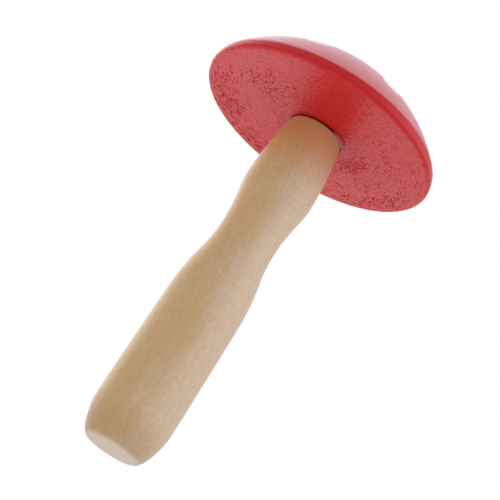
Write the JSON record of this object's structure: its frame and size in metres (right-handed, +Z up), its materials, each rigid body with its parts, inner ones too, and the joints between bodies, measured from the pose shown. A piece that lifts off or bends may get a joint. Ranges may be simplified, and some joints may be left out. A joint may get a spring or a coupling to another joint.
{
  "type": "darning mushroom",
  "caption": "Turned wooden darning mushroom: a domed cap to stretch a sock's worn spot over, with a flat underside and a waisted handle glued into its centre.",
  "frame": {"origin": "centre of the flat at the handle's free end, which is the lowest point", "axes": "+Z up the turning axis from the handle's free end to the cap's crown; X and Y are any two directions across it"},
  "size_m": [0.072, 0.072, 0.1299],
  "materials": {
    "red_painted_wood": "satin red paint, smooth on the dome and rim, over torn turning grain on the underside",
    "varnished_wood": "pale close-grained wood under clear satin varnish",
    "white_paint": "thin white paint spots on the red dome, satin",
    "dried_glue": "clear dried glue squeezed out of the joint, glossy"
  },
  "bodies": {
    "root": {"cap": "red_painted_wood", "handle": "varnished_wood"}
  },
  "joints": []
}
